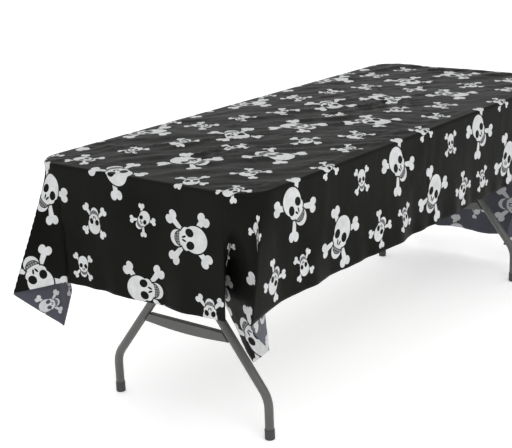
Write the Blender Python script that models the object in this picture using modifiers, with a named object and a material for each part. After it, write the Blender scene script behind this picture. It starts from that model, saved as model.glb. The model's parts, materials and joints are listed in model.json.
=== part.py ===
"""A folding banquet table with a rectangular film tablecloth lying on it.

Metres, +Z up. The origin is on the floor under the middle of the table, +X runs along the table to its far
end, and "near" is the -X end. Each moving body has an empty on its joint's axis, and its pieces are the
empty's children.
"""

from math import atan2, cos, hypot, pi, radians, sin, tan

import bmesh
import bpy
from mathutils import Matrix, Vector

# The clearance between two pieces that touch, and the wider one round a pin that turns in its hole.
GAP = 0.0003
FIT = 0.0005

# The board: a moulded slab, and a band under its edge all round.
BOARD_LENGTH = 1.829
BOARD_WIDTH = 0.762
BOARD_TOP = 0.736
SLAB = 0.026
EDGE_DEPTH = 0.045
BAND_WALL = 0.014
CORNER_RADIUS = 0.085
EDGE_RADIUS = 0.006
CORNER_STEPS = 8
UNDERSIDE = BOARD_TOP - SLAB

# The side rails: folded steel channels under the board.
RAIL_Y = 0.335
RAIL_LENGTH = 1.66
RAIL_HEIGHT = 0.045
RAIL_FLANGE = 0.024
RAIL_LIP = 0.010
SHEET = 0.0015
RAIL_SCREWS_X = (-0.66, -0.22, 0.22, 0.66)
RAIL_SCREW_Y = RAIL_Y + 0.013

# Screws into the board.
SCREW_RADIUS = 0.002
SCREW_HEAD_RADIUS = 0.0045
SCREW_HEAD_HEIGHT = 0.0025
SCREW_DEPTH = 0.014
PILOT_DEPTH = 0.016

# The leg frames: wishbones of round tube that turn on a cross tube between the rails.
LEG_X = 0.744
TUBE_RADIUS = 0.0127
PIVOT_Z = 0.684
PIVOT_TUBE_HALF = 0.347
UPRIGHT_Y = 0.085
FOOT_Y = 0.280
UPPER_BEND_Z = 0.366
LOWER_BEND_Z = 0.118
UPPER_BEND_RADIUS = 0.10
LOWER_BEND_RADIUS = 0.08
BEND_STEPS = 6
COLLAR_RADIUS = 0.0165
COLLAR_WIDTH = 0.004
CAP_WALL = 0.0012
CAP_FLOOR = 0.003
CAP_HEIGHT = 0.030

# The lower crossbar: a flattened tube between the two diagonals, straight on top and bowed below.
CROSSBAR_TOP = 0.281
CROSSBAR_END_HEIGHT = 0.026
CROSSBAR_BOW = 0.008
CROSSBAR_DEPTH = 0.018
CROSSBAR_EDGE = 0.003

# The upper crossbar, and how far from it the two lugs hold the pivot that the brace turns on.
UPPER_BAR_DROP = 0.210
UPPER_BAR_RADIUS = 0.0095
LUG_REACH = 0.018
LUG_THICKNESS = 0.003

# The folding brace: an upper rod from the centre bracket to the knee, and two lower bars from there to the
# lug. It stands straight when the legs are open and lies flat, doubled back, when they are folded.
BRACKET_X = 0.200
BRACKET_Z = 0.700
ROD_RADIUS = 0.0048
EYE_RADIUS = 0.007
PIN_RADIUS = 0.003
RIVET_HEAD_RADIUS = 0.005
RIVET_HEAD_HEIGHT = 0.002
EAR_INNER_Y = 0.0056
EAR_THICKNESS = 0.002
BAR_THICKNESS = 0.003
BRACKET_PLATE = (0.050, 0.100, 0.002)
BRACKET_SCREW_Y = 0.035

# The tablecloth: the drop of its hem below the board's top, and how far it stands out there. The corners
# drop and stand out further, over a stretch of CORNER_REACH on each side of them.
CLOTH_WALL = 0.0012
CLOTH_GAP = 0.0008
SIDE_DROP = 0.294
NEAR_DROP = 0.335
FAR_DROP = 0.635
NEAR_TIP_DROP = 0.450
FAR_TIP_DROP = 0.705
SIDE_FLARE = 0.012
CORNER_FLARE = 0.125
CORNER_REACH = 0.20
CLOTH_RINGS = 5
CLOTH_EDGE_STEPS = 3
CLOTH_CORNER_STEPS = 10
CLOTH_SIDE_STEP = 0.09

ROUND_STEPS = 28
EYE_STEPS = 20
PIN_STEPS = 12
TUBE_RESOLUTION = 7

NEAR, FAR = -1, 1
LEFT, RIGHT = 1, -1
END_NAME = {NEAR: "near", FAR: "far"}
SIDE_NAME = {LEFT: "left", RIGHT: "right"}


def clear_scene():
    for old in list(bpy.data.objects):
        bpy.data.objects.remove(old, do_unlink=True)


def new_collection(name):
    collection = bpy.data.collections.new(name)
    bpy.context.scene.collection.children.link(collection)
    return collection


def new_material(name, colour, roughness, metallic):
    material = bpy.data.materials.new(name)
    material.use_nodes = True
    shader = material.node_tree.nodes["Principled BSDF"]
    shader.inputs["Base Color"].default_value = (*colour, 1)
    shader.inputs["Roughness"].default_value = roughness
    shader.inputs["Metallic"].default_value = metallic
    return material


clear_scene()
PARTS = new_collection("tablecloth_on_folding_table")
CUTTERS = new_collection("cutters")

FINISHES = {
    "film": ((0.02, 0.02, 0.022), 0.42, 0.0),
    "board": ((0.80, 0.79, 0.76), 0.55, 0.0),
    "painted_steel": ((0.085, 0.088, 0.082), 0.45, 0.6),
    "zinc": ((0.62, 0.63, 0.65), 0.35, 1.0),
    "cap": ((0.05, 0.05, 0.05), 0.6, 0.0),
}


def body(name, location):
    """An empty on a body's joint, which the body's pieces hang from."""
    empty = bpy.data.objects.new(name, None)
    empty.location = location
    PARTS.objects.link(empty)
    return empty


def add_part(name, data, finish, owner, at=(0, 0, 0), turn=0.0):
    """A named piece with its own material, placed at a world position and turned about Y."""
    part = bpy.data.objects.new(name, data)
    part.parent = owner
    part.location = Vector(at) - owner.location
    part.rotation_euler = (0, turn, 0)
    data.materials.append(new_material(name + "_finish", *FINISHES[finish]))
    PARTS.objects.link(part)
    return part


def add_cutter(name, mesh, at=(0, 0, 0)):
    cutter = bpy.data.objects.new(name, mesh)
    cutter.location = at
    cutter.hide_render = True
    cutter.display_type = "WIRE"
    CUTTERS.objects.link(cutter)
    return cutter


def apply_boolean(part, cutter, operation="DIFFERENCE"):
    modifier = part.modifiers.new(cutter.name, "BOOLEAN")
    modifier.operation = operation
    modifier.object = cutter
    modifier.solver = "EXACT"


def mesh_of(name, build):
    """A mesh made by build(bm)."""
    bm = bmesh.new()
    build(bm)
    mesh = bpy.data.meshes.new(name)
    bm.to_mesh(mesh)
    bm.free()
    return mesh


def smooth(mesh, angle=35):
    mesh.shade_smooth()
    mesh.set_sharp_from_angle(angle=radians(angle))
    return mesh


def box_mesh(name, size, centre=(0, 0, 0)):
    matrix = Matrix.Translation(centre) @ Matrix.Diagonal((*size, 1))
    return mesh_of(name, lambda bm: bmesh.ops.create_cube(bm, size=1, matrix=matrix))


def add_cylinder(bm, radius, length, centre, axis, steps=PIN_STEPS):
    turn = Vector((0, 0, 1)).rotation_difference(Vector(axis)).to_matrix().to_4x4()
    bmesh.ops.create_cone(
        bm,
        cap_ends=True,
        segments=steps,
        radius1=radius,
        radius2=radius,
        depth=length,
        matrix=Matrix.Translation(centre) @ turn,
    )


def cylinders_mesh(name, cylinders):
    """One mesh of separate cylinders, each (radius, length, centre, axis)."""

    def build(bm):
        for one in cylinders:
            add_cylinder(bm, *one)

    return mesh_of(name, build)


def as_mesh(helper, flat_faces=False):
    """A mesh of the helper's shape with its caps welded on, and each flat cap one face if asked."""
    graph = bpy.context.evaluated_depsgraph_get()
    mesh = bpy.data.meshes.new_from_object(helper.evaluated_get(graph))
    bm = bmesh.new()
    bm.from_mesh(mesh)
    bmesh.ops.remove_doubles(bm, verts=bm.verts, dist=1e-6)
    if flat_faces:
        bmesh.ops.dissolve_limit(bm, angle_limit=radians(0.5), verts=bm.verts, edges=bm.edges)
    bm.to_mesh(mesh)
    bm.free()
    return mesh


def add_spline(curve, points, closed=False):
    spline = curve.splines.new("POLY")
    spline.points.add(len(points) - 1)
    for point, place in zip(spline.points, points):
        point.co = (*place, 1)
    spline.use_cyclic_u = closed
    spline.use_smooth = True


def tube_curve(name, points, radius):
    curve = bpy.data.curves.new(name, "CURVE")
    curve.dimensions = "3D"
    curve.bevel_depth = radius
    curve.bevel_resolution = TUBE_RESOLUTION
    curve.use_fill_caps = True
    add_spline(curve, points)
    return curve


def plate_curve(name, outlines, thickness, edge=0.0):
    """A flat plate of the first outline, with the other outlines as holes. Its plane is local XY."""
    curve = bpy.data.curves.new(name, "CURVE")
    curve.dimensions = "2D"
    curve.fill_mode = "BOTH"
    curve.extrude = thickness / 2 - edge
    curve.bevel_depth = edge
    curve.bevel_resolution = 2
    curve.offset = -edge
    for outline in outlines:
        add_spline(curve, [(x, y, 0) for x, y in outline], closed=True)
    return curve


def plate_mesh(name, outlines, thickness, upright, edge=0.0):
    """The plate's mesh, stood up by the rotation upright."""
    curve = plate_curve(name, outlines, thickness, edge)
    helper = bpy.data.objects.new(name + "_outline", curve)
    CUTTERS.objects.link(helper)
    mesh = as_mesh(helper, flat_faces=True)
    bpy.data.objects.remove(helper)
    bpy.data.curves.remove(curve)
    mesh.transform(upright.to_4x4())
    return smooth(mesh)


# Plates are drawn in XY. The first matrix stands them in the XZ plane, the second in the YZ plane.
IN_XZ = Matrix(((1, 0, 0), (0, 0, 1), (0, -1, 0))).transposed()
IN_YZ = Matrix(((0, 1, 0), (0, 0, 1), (1, 0, 0))).transposed()


def circle(centre, radius, steps=PIN_STEPS, start=0.0, sweep=2 * pi):
    whole = abs(sweep) > 2 * pi - 1e-9
    count = steps if whole else steps + 1
    return [
        (
            centre[0] + radius * cos(start + sweep * i / steps),
            centre[1] + radius * sin(start + sweep * i / steps),
        )
        for i in range(count)
    ]


def stadium(length, radius):
    """A bar's outline, round at both ends, with its two centres at 0 and at length along X."""
    half = EYE_STEPS // 2
    far = circle((length, 0), radius, half, -pi / 2, pi)
    return far + circle((0, 0), radius, half, pi / 2, pi)


def rounded_rectangle(length, width, radius, steps=CORNER_STEPS):
    points = []
    for i, (sx, sy) in enumerate(((1, 1), (-1, 1), (-1, -1), (1, -1))):
        centre = (sx * (length / 2 - radius), sy * (width / 2 - radius))
        points += circle(centre, radius, steps, i * pi / 2, pi / 2)
    return points


def turned_mesh(name, profile, axis, steps=PIN_STEPS):
    """A solid of revolution: the profile's (radius, height) points run down its outer side, and it is spun
    by a Screw modifier about local Z, which is then turned to axis."""
    mesh = bpy.data.meshes.new(name)
    ring = profile[0][0] > 0
    last = len(profile) if ring else len(profile) - 1
    edges = [(i, (i + 1) % len(profile)) for i in range(last)]
    mesh.from_pydata([(r, 0, z) for r, z in profile], edges, [])
    helper = bpy.data.objects.new(name + "_profile", mesh)
    CUTTERS.objects.link(helper)
    spin = helper.modifiers.new("spin", "SCREW")
    spin.steps = steps
    spin.render_steps = steps
    spin.use_merge_vertices = True
    spin.merge_threshold = 1e-6
    turned = as_mesh(helper)
    bpy.data.objects.remove(helper)
    bpy.data.meshes.remove(mesh)
    turned.transform(Vector((0, 0, 1)).rotation_difference(Vector(axis)).to_matrix().to_4x4())
    return smooth(turned)


def bent_path(corners, radii, steps=BEND_STEPS):
    """The corners' path with each inner corner rounded to an arc of its own radius."""
    path = [Vector(corners[0])]
    for before, corner, after, radius in zip(corners, corners[1:], corners[2:], radii):
        corner = Vector(corner)
        back = (Vector(before) - corner).normalized()
        on = (Vector(after) - corner).normalized()
        half = back.angle(on) / 2
        centre = corner + (back + on).normalized() * radius / sin(half)
        start = corner + back * radius / tan(half) - centre
        turn = back.cross(on).normalized()
        for i in range(steps + 1):
            angle = -(pi - 2 * half) * i / steps
            path.append(centre + Matrix.Rotation(angle, 3, turn) @ start)
    path.append(Vector(corners[-1]))
    return path


# ---------------------------------------------------------------- the brace's lengths


def brace_sizes():
    """(rod length, bar length, slope when open), from where the lug is with the legs open and folded."""
    open_run = LEG_X - LUG_REACH - BRACKET_X
    open_rise = BRACKET_Z - (PIVOT_Z - UPPER_BAR_DROP)
    folded_run = LEG_X - UPPER_BAR_DROP - BRACKET_X
    folded_rise = BRACKET_Z - (PIVOT_Z + LUG_REACH)
    straight = hypot(open_run, open_rise)
    doubled = hypot(folded_run, folded_rise)
    return (straight + doubled) / 2, (straight - doubled) / 2, atan2(open_rise, open_run)


ROD_LENGTH, BAR_LENGTH, BRACE_SLOPE = brace_sizes()


# ---------------------------------------------------------------- the table's board and rails


def screw_mesh(name):
    """A pan-head screw that points up, with its head's flat side at z = 0."""
    shank = SCREW_DEPTH + SHEET
    return turned_mesh(
        name,
        [
            (0, shank),
            (SCREW_RADIUS * 0.4, shank),
            (SCREW_RADIUS, shank - 0.003),
            (SCREW_RADIUS, 0),
            (SCREW_HEAD_RADIUS, 0),
            (SCREW_HEAD_RADIUS, -SCREW_HEAD_HEIGHT * 0.4),
            (SCREW_HEAD_RADIUS * 0.6, -SCREW_HEAD_HEIGHT * 0.85),
            (0, -SCREW_HEAD_HEIGHT),
        ],
        (0, 0, 1),
    )


def rail_screw_places():
    return [(x, side * RAIL_SCREW_Y) for side in (LEFT, RIGHT) for x in RAIL_SCREWS_X]


def bracket_screw_places():
    return [
        (end * BRACKET_X, side * BRACKET_SCREW_Y) for end in (NEAR, FAR) for side in (LEFT, RIGHT)
    ]


def add_board(table):
    slab = plate_mesh(
        "board",
        [rounded_rectangle(BOARD_LENGTH, BOARD_WIDTH, CORNER_RADIUS)],
        SLAB,
        Matrix.Identity(3),
    )
    board = add_part("tabletop", slab, "board", table, at=(0, 0, BOARD_TOP - SLAB / 2))
    edges = board.modifiers.new("edge", "BEVEL")
    edges.width = EDGE_RADIUS
    edges.segments = 3
    edges.limit_method = "ANGLE"
    edges.angle_limit = radians(60)
    pilots = [
        (SCREW_RADIUS + FIT, 2 * PILOT_DEPTH, (x, y, UNDERSIDE), (0, 0, 1))
        for x, y in rail_screw_places() + bracket_screw_places()
    ]
    apply_boolean(board, add_cutter("pilot_holes", cylinders_mesh("pilots", pilots)))


def add_edge_band(table):
    """The moulding that closes the board's edge from below."""
    height = EDGE_DEPTH - SLAB - GAP
    outer = rounded_rectangle(BOARD_LENGTH, BOARD_WIDTH, CORNER_RADIUS)
    inner = rounded_rectangle(
        BOARD_LENGTH - 2 * BAND_WALL, BOARD_WIDTH - 2 * BAND_WALL, CORNER_RADIUS - BAND_WALL
    )
    band = plate_mesh("band", [outer, inner], height, Matrix.Identity(3))
    add_part("edge_band", band, "board", table, at=(0, 0, UNDERSIDE - GAP - height / 2))


def add_rail(table, side):
    """A channel with its web upright, its top flange under the board and a short lip below."""
    top = UNDERSIDE - GAP - SHEET / 2
    bottom = top - RAIL_HEIGHT
    profile = (
        (RAIL_Y + RAIL_FLANGE, top),
        (RAIL_Y, top),
        (RAIL_Y, bottom),
        (RAIL_Y + RAIL_LIP, bottom),
    )

    def build(bm):
        corners = [bm.verts.new((-RAIL_LENGTH / 2, side * y, z)) for y, z in profile]
        edges = [bm.edges.new(pair) for pair in zip(corners, corners[1:])]
        drawn = bmesh.ops.extrude_edge_only(bm, edges=edges)["geom"]
        verts = [one for one in drawn if isinstance(one, bmesh.types.BMVert)]
        bmesh.ops.translate(bm, verts=verts, vec=(RAIL_LENGTH, 0, 0))
        bmesh.ops.recalc_face_normals(bm, faces=bm.faces)

    name = "side_rail_" + SIDE_NAME[side]
    rail = add_part(name, mesh_of(name, build), "painted_steel", table)
    wall = rail.modifiers.new("wall", "SOLIDIFY")
    wall.thickness = SHEET
    wall.offset = 0
    wall.use_even_offset = True
    holes = [
        (TUBE_RADIUS + FIT, 0.02, (end * LEG_X, side * RAIL_Y, PIVOT_Z), (0, 1, 0), ROUND_STEPS)
        for end in (NEAR, FAR)
    ]
    holes += [
        (SCREW_RADIUS + FIT, 0.01, (x, side * RAIL_SCREW_Y, top), (0, 0, 1)) for x in RAIL_SCREWS_X
    ]
    apply_boolean(rail, add_cutter(name + "_holes", cylinders_mesh(name + "_holes", holes)))


def add_screws(table):
    mesh = screw_mesh("screw")
    rail_face = UNDERSIDE - GAP - SHEET - GAP
    bracket_face = UNDERSIDE - GAP - BRACKET_PLATE[2] - GAP
    for i, (x, y) in enumerate(rail_screw_places(), 1):
        add_part(f"rail_screw_{i}", mesh.copy(), "zinc", table, at=(x, y, rail_face))
    for i, (x, y) in enumerate(bracket_screw_places(), 1):
        add_part(f"bracket_screw_{i}", mesh.copy(), "zinc", table, at=(x, y, bracket_face))


def add_centre_bracket(table, end):
    """A plate under the board with two ears, between which the brace's rod turns."""
    name = END_NAME[end] + "_centre_bracket"
    plate_z = UNDERSIDE - GAP - BRACKET_PLATE[2] / 2
    centre = (end * BRACKET_X, 0, plate_z)
    bracket = add_part(name, box_mesh(name, BRACKET_PLATE), "zinc", table, at=centre)
    ear_height = plate_z - (BRACKET_Z - EYE_RADIUS)
    ear_y = EAR_INNER_Y + EAR_THICKNESS / 2
    for side in (LEFT, RIGHT):
        ear = box_mesh(name + "_ear", (2 * EYE_RADIUS, EAR_THICKNESS, ear_height))
        place = (end * BRACKET_X, side * ear_y, plate_z - ear_height / 2)
        apply_boolean(bracket, add_cutter(f"{name}_ear_{SIDE_NAME[side]}", ear, place), "UNION")
    holes = [(PIN_RADIUS + FIT, 0.04, (end * BRACKET_X, 0, BRACKET_Z), (0, 1, 0))]
    holes += [
        (SCREW_RADIUS + FIT, 0.01, (end * BRACKET_X, side * BRACKET_SCREW_Y, plate_z), (0, 0, 1))
        for side in (LEFT, RIGHT)
    ]
    apply_boolean(bracket, add_cutter(name + "_holes", cylinders_mesh(name + "_holes", holes)))
    pin = rivet_mesh(name + "_pin", EAR_INNER_Y + EAR_THICKNESS)
    add_part(
        END_NAME[end] + "_bracket_pin", pin, "zinc", table, at=(end * BRACKET_X, 0, BRACKET_Z)
    )


def rivet_mesh(name, half_grip):
    """A pin along Y with a domed head on each side of what it grips."""
    face = half_grip + GAP
    dome = face + RIVET_HEAD_HEIGHT
    half = [
        (0, dome),
        (RIVET_HEAD_RADIUS * 0.6, dome - RIVET_HEAD_HEIGHT * 0.15),
        (RIVET_HEAD_RADIUS, face + RIVET_HEAD_HEIGHT * 0.4),
        (RIVET_HEAD_RADIUS, face),
        (PIN_RADIUS, face),
    ]
    return turned_mesh(name, half + [(r, -z) for r, z in reversed(half)], (0, 1, 0))


def headed_pin_mesh(name, inner, outer, side):
    """A pin on one side, flush with the bar's inner face and with a domed head past outer."""
    face = outer + GAP
    dome = face + RIVET_HEAD_HEIGHT
    profile = [
        (0, dome),
        (RIVET_HEAD_RADIUS * 0.6, dome - RIVET_HEAD_HEIGHT * 0.15),
        (RIVET_HEAD_RADIUS, face + RIVET_HEAD_HEIGHT * 0.4),
        (RIVET_HEAD_RADIUS, face),
        (PIN_RADIUS, face),
        (PIN_RADIUS, inner),
        (0, inner),
    ]
    return turned_mesh(name, profile, (0, side, 0))


# ---------------------------------------------------------------- the leg frames


def add_leg(legs, end, side):
    """One side of a wishbone: upright, diagonal and foot in one bent tube, coped round the pivot tube."""
    name = f"{END_NAME[end]}_leg_{SIDE_NAME[side]}"
    x = end * LEG_X
    corners = (
        (x, side * UPRIGHT_Y, PIVOT_Z),
        (x, side * UPRIGHT_Y, UPPER_BEND_Z),
        (x, side * FOOT_Y, LOWER_BEND_Z),
        (x, side * FOOT_Y, CAP_FLOOR + GAP),
    )
    curve = tube_curve(name, bent_path(corners, (UPPER_BEND_RADIUS, LOWER_BEND_RADIUS)), TUBE_RADIUS)
    helper = bpy.data.objects.new(name + "_route", curve)
    CUTTERS.objects.link(helper)
    mesh = smooth(as_mesh(helper))
    bpy.data.objects.remove(helper)
    mesh.transform(Matrix.Translation((-x, 0, -PIVOT_Z)))
    leg = add_part(name, mesh, "painted_steel", legs, at=(x, 0, PIVOT_Z))
    cope = [(TUBE_RADIUS + GAP, 0.06, (x, side * UPRIGHT_Y, PIVOT_Z), (0, 1, 0), ROUND_STEPS)]
    apply_boolean(leg, add_cutter(name + "_cope", cylinders_mesh(name + "_cope", cope)))


def add_pivot_tube(legs, end):
    x = end * LEG_X
    points = [(0, -PIVOT_TUBE_HALF, 0), (0, PIVOT_TUBE_HALF, 0)]
    name = END_NAME[end] + "_pivot_tube"
    add_part(name, tube_curve(name, points, TUBE_RADIUS), "painted_steel", legs, at=(x, 0, PIVOT_Z))
    inner = TUBE_RADIUS + GAP
    collar = [(COLLAR_RADIUS, COLLAR_WIDTH), (COLLAR_RADIUS, 0), (inner, 0), (inner, COLLAR_WIDTH)]
    for side in (LEFT, RIGHT):
        face = RAIL_Y - SHEET / 2 - GAP
        add_part(
            f"{END_NAME[end]}_pivot_collar_{SIDE_NAME[side]}",
            turned_mesh("collar", collar, (0, -side, 0), ROUND_STEPS),
            "zinc",
            legs,
            at=(x, side * face, PIVOT_Z),
        )


def diagonal_inner_y(z):
    """The y of the diagonal's inner side at height z."""
    run = FOOT_Y - UPRIGHT_Y
    drop = UPPER_BEND_Z - LOWER_BEND_Z
    axis = UPRIGHT_Y + run * (UPPER_BEND_Z - z) / drop
    return axis - TUBE_RADIUS * hypot(run, drop) / drop


def add_lower_crossbar(legs, end):
    name = END_NAME[end] + "_lower_crossbar"
    low = CROSSBAR_TOP - CROSSBAR_END_HEIGHT
    clear = 4 * GAP
    top_y = diagonal_inner_y(CROSSBAR_TOP) - clear
    low_y = diagonal_inner_y(low) - clear
    bow = [
        (low_y * (i / 8), low - CROSSBAR_BOW * cos(pi / 2 * i / 8)) for i in range(-8, 9)
    ]
    outline = bow + [(top_y, CROSSBAR_TOP), (-top_y, CROSSBAR_TOP)]
    outline = [(y, z - PIVOT_Z) for y, z in outline]
    mesh = plate_mesh(name, [outline], CROSSBAR_DEPTH, IN_YZ, CROSSBAR_EDGE)
    add_part(name, mesh, "painted_steel", legs, at=(end * LEG_X, 0, PIVOT_Z))


def add_upper_crossbar(legs, end):
    """The short bar between the uprights."""
    name = END_NAME[end] + "_upper_crossbar"
    half = UPRIGHT_Y - TUBE_RADIUS - GAP
    curve = tube_curve(name, [(0, -half, 0), (0, half, 0)], UPPER_BAR_RADIUS)
    add_part(name, curve, "painted_steel", legs, at=(end * LEG_X, 0, PIVOT_Z - UPPER_BAR_DROP))


def add_brace_lug(legs, end, side):
    """One of the two lugs on the upper crossbar, and the pin in it that one of the brace's bars turns on."""
    label = f"{END_NAME[end]}_brace_lug_{SIDE_NAME[side]}"
    root = UPPER_BAR_RADIUS + GAP - LUG_REACH
    tab = [(root, -EYE_RADIUS)] + circle((0, 0), EYE_RADIUS, EYE_STEPS // 2, -pi / 2, pi)
    tab.append((root, EYE_RADIUS))
    outlines = [[(-end * x, z) for x, z in tab], circle((0, 0), PIN_RADIUS + FIT)]
    lug = plate_mesh(label, outlines, LUG_THICKNESS, IN_XZ)
    inner = EAR_INNER_Y + BAR_THICKNESS + FIT
    place = Vector((end * (LEG_X - LUG_REACH), 0, PIVOT_Z - UPPER_BAR_DROP))
    middle = Vector((0, side * (inner + LUG_THICKNESS / 2), 0))
    add_part(label, lug, "painted_steel", legs, at=place + middle)
    name = f"{END_NAME[end]}_lug_pin_{SIDE_NAME[side]}"
    pin = headed_pin_mesh("lug_pin", EAR_INNER_Y + GAP, inner + LUG_THICKNESS, side)
    add_part(name, pin, "zinc", legs, at=place)


def add_foot_cap(legs, end, side):
    """A plastic cup pushed on the tube's end."""
    inner = TUBE_RADIUS + GAP
    outer = inner + CAP_WALL
    round_off = 0.0015
    profile = [
        (0, CAP_FLOOR),
        (inner, CAP_FLOOR),
        (inner, CAP_HEIGHT),
        (outer, CAP_HEIGHT),
        (outer, round_off),
        (outer - round_off, 0),
        (0, 0),
    ]
    name = f"{END_NAME[end]}_foot_cap_{SIDE_NAME[side]}"
    cap = turned_mesh(name, profile, (0, 0, 1), ROUND_STEPS)
    add_part(name, cap, "cap", legs, at=(end * LEG_X, side * FOOT_Y, 0))


# ---------------------------------------------------------------- the braces


def add_brace_rod(rod_body, end):
    """The rod with an eye at each end. It is made along local X from the bracket's pin to the knee."""
    name = END_NAME[end] + "_brace_rod"
    turn = BRACE_SLOPE if end == FAR else pi - BRACE_SLOPE
    place = Vector((end * BRACKET_X, 0, BRACKET_Z))
    eyes = [
        (EYE_RADIUS, 2 * ROD_RADIUS, (0, 0, 0), (0, 1, 0), EYE_STEPS),
        (EYE_RADIUS, 2 * ROD_RADIUS, (ROD_LENGTH, 0, 0), (0, 1, 0), EYE_STEPS),
    ]
    holes = [
        (PIN_RADIUS + FIT, 0.04, (0, 0, 0), (0, 1, 0)),
        (PIN_RADIUS + FIT, 0.04, (ROD_LENGTH, 0, 0), (0, 1, 0)),
    ]
    middle = (ROD_LENGTH / 2, 0, 0)
    shaft = [(ROD_RADIUS * 0.98, ROD_LENGTH - EYE_RADIUS, middle, (1, 0, 0))]
    rod = add_part(name, cylinders_mesh(name, shaft), "zinc", rod_body, at=place, turn=turn)
    for label, shapes, operation in (("eyes", eyes, "UNION"), ("holes", holes, "DIFFERENCE")):
        cutter = add_cutter(f"{name}_{label}", cylinders_mesh(f"{name}_{label}", shapes), place)
        cutter.rotation_euler = (0, turn, 0)
        apply_boolean(rod, cutter, operation)
    pin_half = EAR_INNER_Y - GAP
    knee = place + Matrix.Rotation(turn, 3, "Y") @ Vector((ROD_LENGTH, 0, 0))
    profile = [(0, pin_half), (PIN_RADIUS, pin_half), (PIN_RADIUS, -pin_half), (0, -pin_half)]
    pin = turned_mesh("knee_pin", profile, (0, 1, 0))
    add_part(END_NAME[end] + "_knee_pin", pin, "zinc", rod_body, at=knee)


def add_brace_bars(bar_body, end):
    """The two lower bars on either side of the rod's plane, each with the head of the knee's rivet."""
    turn = BRACE_SLOPE if end == FAR else pi - BRACE_SLOPE
    turn += pi
    lug = Vector((end * (LEG_X - LUG_REACH), 0, PIVOT_Z - UPPER_BAR_DROP))
    knee = lug + Matrix.Rotation(turn, 3, "Y") @ Vector((BAR_LENGTH, 0, 0))
    holes = [circle((x, 0), PIN_RADIUS + FIT) for x in (0, BAR_LENGTH)]
    outer = EAR_INNER_Y + BAR_THICKNESS
    for side in (LEFT, RIGHT):
        name = f"{END_NAME[end]}_brace_bar_{SIDE_NAME[side]}"
        bar = plate_mesh(name, [stadium(BAR_LENGTH, EYE_RADIUS), *holes], BAR_THICKNESS, IN_XZ)
        bar_y = Vector((0, side * (EAR_INNER_Y + BAR_THICKNESS / 2), 0))
        add_part(name, bar, "zinc", bar_body, at=lug + bar_y, turn=turn)
        rivet = headed_pin_mesh("knee_rivet", EAR_INNER_Y + GAP, outer, side)
        name = f"{END_NAME[end]}_knee_rivet_{SIDE_NAME[side]}"
        add_part(name, rivet, "zinc", bar_body, at=knee)


# ---------------------------------------------------------------- the tablecloth


def cloth_edge():
    """(place, outward normal, distance from a corner's middle, end) at each step round the board's edge."""
    steps = []
    straight = {0: BOARD_WIDTH, 1: BOARD_LENGTH, 2: BOARD_WIDTH, 3: BOARD_LENGTH}
    for i, (sx, sy) in enumerate(((1, 1), (-1, 1), (-1, -1), (1, -1))):
        centre = Vector(
            (sx * (BOARD_LENGTH / 2 - CORNER_RADIUS), sy * (BOARD_WIDTH / 2 - CORNER_RADIUS))
        )
        for j in range(CLOTH_CORNER_STEPS + 1):
            angle = i * pi / 2 + pi / 2 * j / CLOTH_CORNER_STEPS
            normal = Vector((cos(angle), sin(angle)))
            away = CORNER_RADIUS * abs(angle - i * pi / 2 - pi / 4)
            steps.append((centre + normal * CORNER_RADIUS, normal, away, sx))
        run = straight[(i + 1) % 4] - 2 * CORNER_RADIUS
        count = round(run / CLOTH_SIDE_STEP)
        normal = Vector((cos((i + 1) * pi / 2), sin((i + 1) * pi / 2)))
        start = centre + normal * CORNER_RADIUS
        along = Vector((-normal.y, normal.x))
        for j in range(1, count):
            distance = run * j / count
            away = CORNER_RADIUS * pi / 4 + min(distance, run - distance)
            place = start + along * distance
            steps.append((place, normal, away, 1 if place.x > 0 else -1))
    return steps


def corner_share(away):
    """1 at a corner's middle, falling smoothly to 0 at the corner's reach along the edge."""
    return 0.5 + 0.5 * cos(pi * min(away / CORNER_REACH, 1))


def square_out(normal):
    """How much further than along an axis a square's edge lies in the direction of normal."""
    return 1 / max(abs(normal.x), abs(normal.y))


def side_drop(normal):
    """The hem's drop away from the corners: an end's own drop on that end, and the sides' elsewhere."""
    end_drop = FAR_DROP if normal.x > 0 else NEAR_DROP
    share = abs(normal.x) ** 2
    return SIDE_DROP + (end_drop - SIDE_DROP) * share


def add_tablecloth(cloth):
    steps = cloth_edge()

    def ring(bm, offset, z):
        return [
            bm.verts.new((*(place + normal * offset(k)), z(k)))
            for k, (place, normal, _, _) in enumerate(steps)
        ]

    def hem(k):
        """(drop, flare) of the hem at step k."""
        _, normal, away, end = steps[k]
        share = corner_share(away)
        tip = FAR_TIP_DROP if end > 0 else NEAR_TIP_DROP
        drop = side_drop(normal) * (1 - share) + tip * share
        return drop, SIDE_FLARE * (1 - share) + CORNER_FLARE * share * square_out(normal)

    def build(bm):
        rings = []
        radius = EDGE_RADIUS + CLOTH_GAP
        for i in range(CLOTH_EDGE_STEPS + 1):
            angle = pi / 2 * i / CLOTH_EDGE_STEPS
            out = radius * sin(angle) - EDGE_RADIUS
            z = BOARD_TOP - EDGE_RADIUS + radius * cos(angle)
            rings.append(ring(bm, lambda k, out=out: out, lambda k, z=z: z))
        for i in range(1, CLOTH_RINGS + 1):
            share = i / CLOTH_RINGS
            rings.append(
                ring(
                    bm,
                    lambda k, s=share: CLOTH_GAP + hem(k)[1] * s**1.4,
                    lambda k, s=share: BOARD_TOP - EDGE_RADIUS - (hem(k)[0] - EDGE_RADIUS) * s,
                )
            )
        bm.faces.new(rings[0])
        for upper, lower in zip(rings, rings[1:]):
            for k in range(len(upper)):
                after = (k + 1) % len(upper)
                bm.faces.new((upper[k], lower[k], lower[after], upper[after]))
        bmesh.ops.recalc_face_normals(bm, faces=bm.faces)

    mesh = smooth(mesh_of("tablecloth", build))
    sheet = add_part("tablecloth", mesh, "film", cloth)
    wall = sheet.modifiers.new("wall", "SOLIDIFY")
    wall.thickness = CLOTH_WALL
    wall.offset = 1
    wall.use_even_offset = True


# ---------------------------------------------------------------- the assembly


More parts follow.
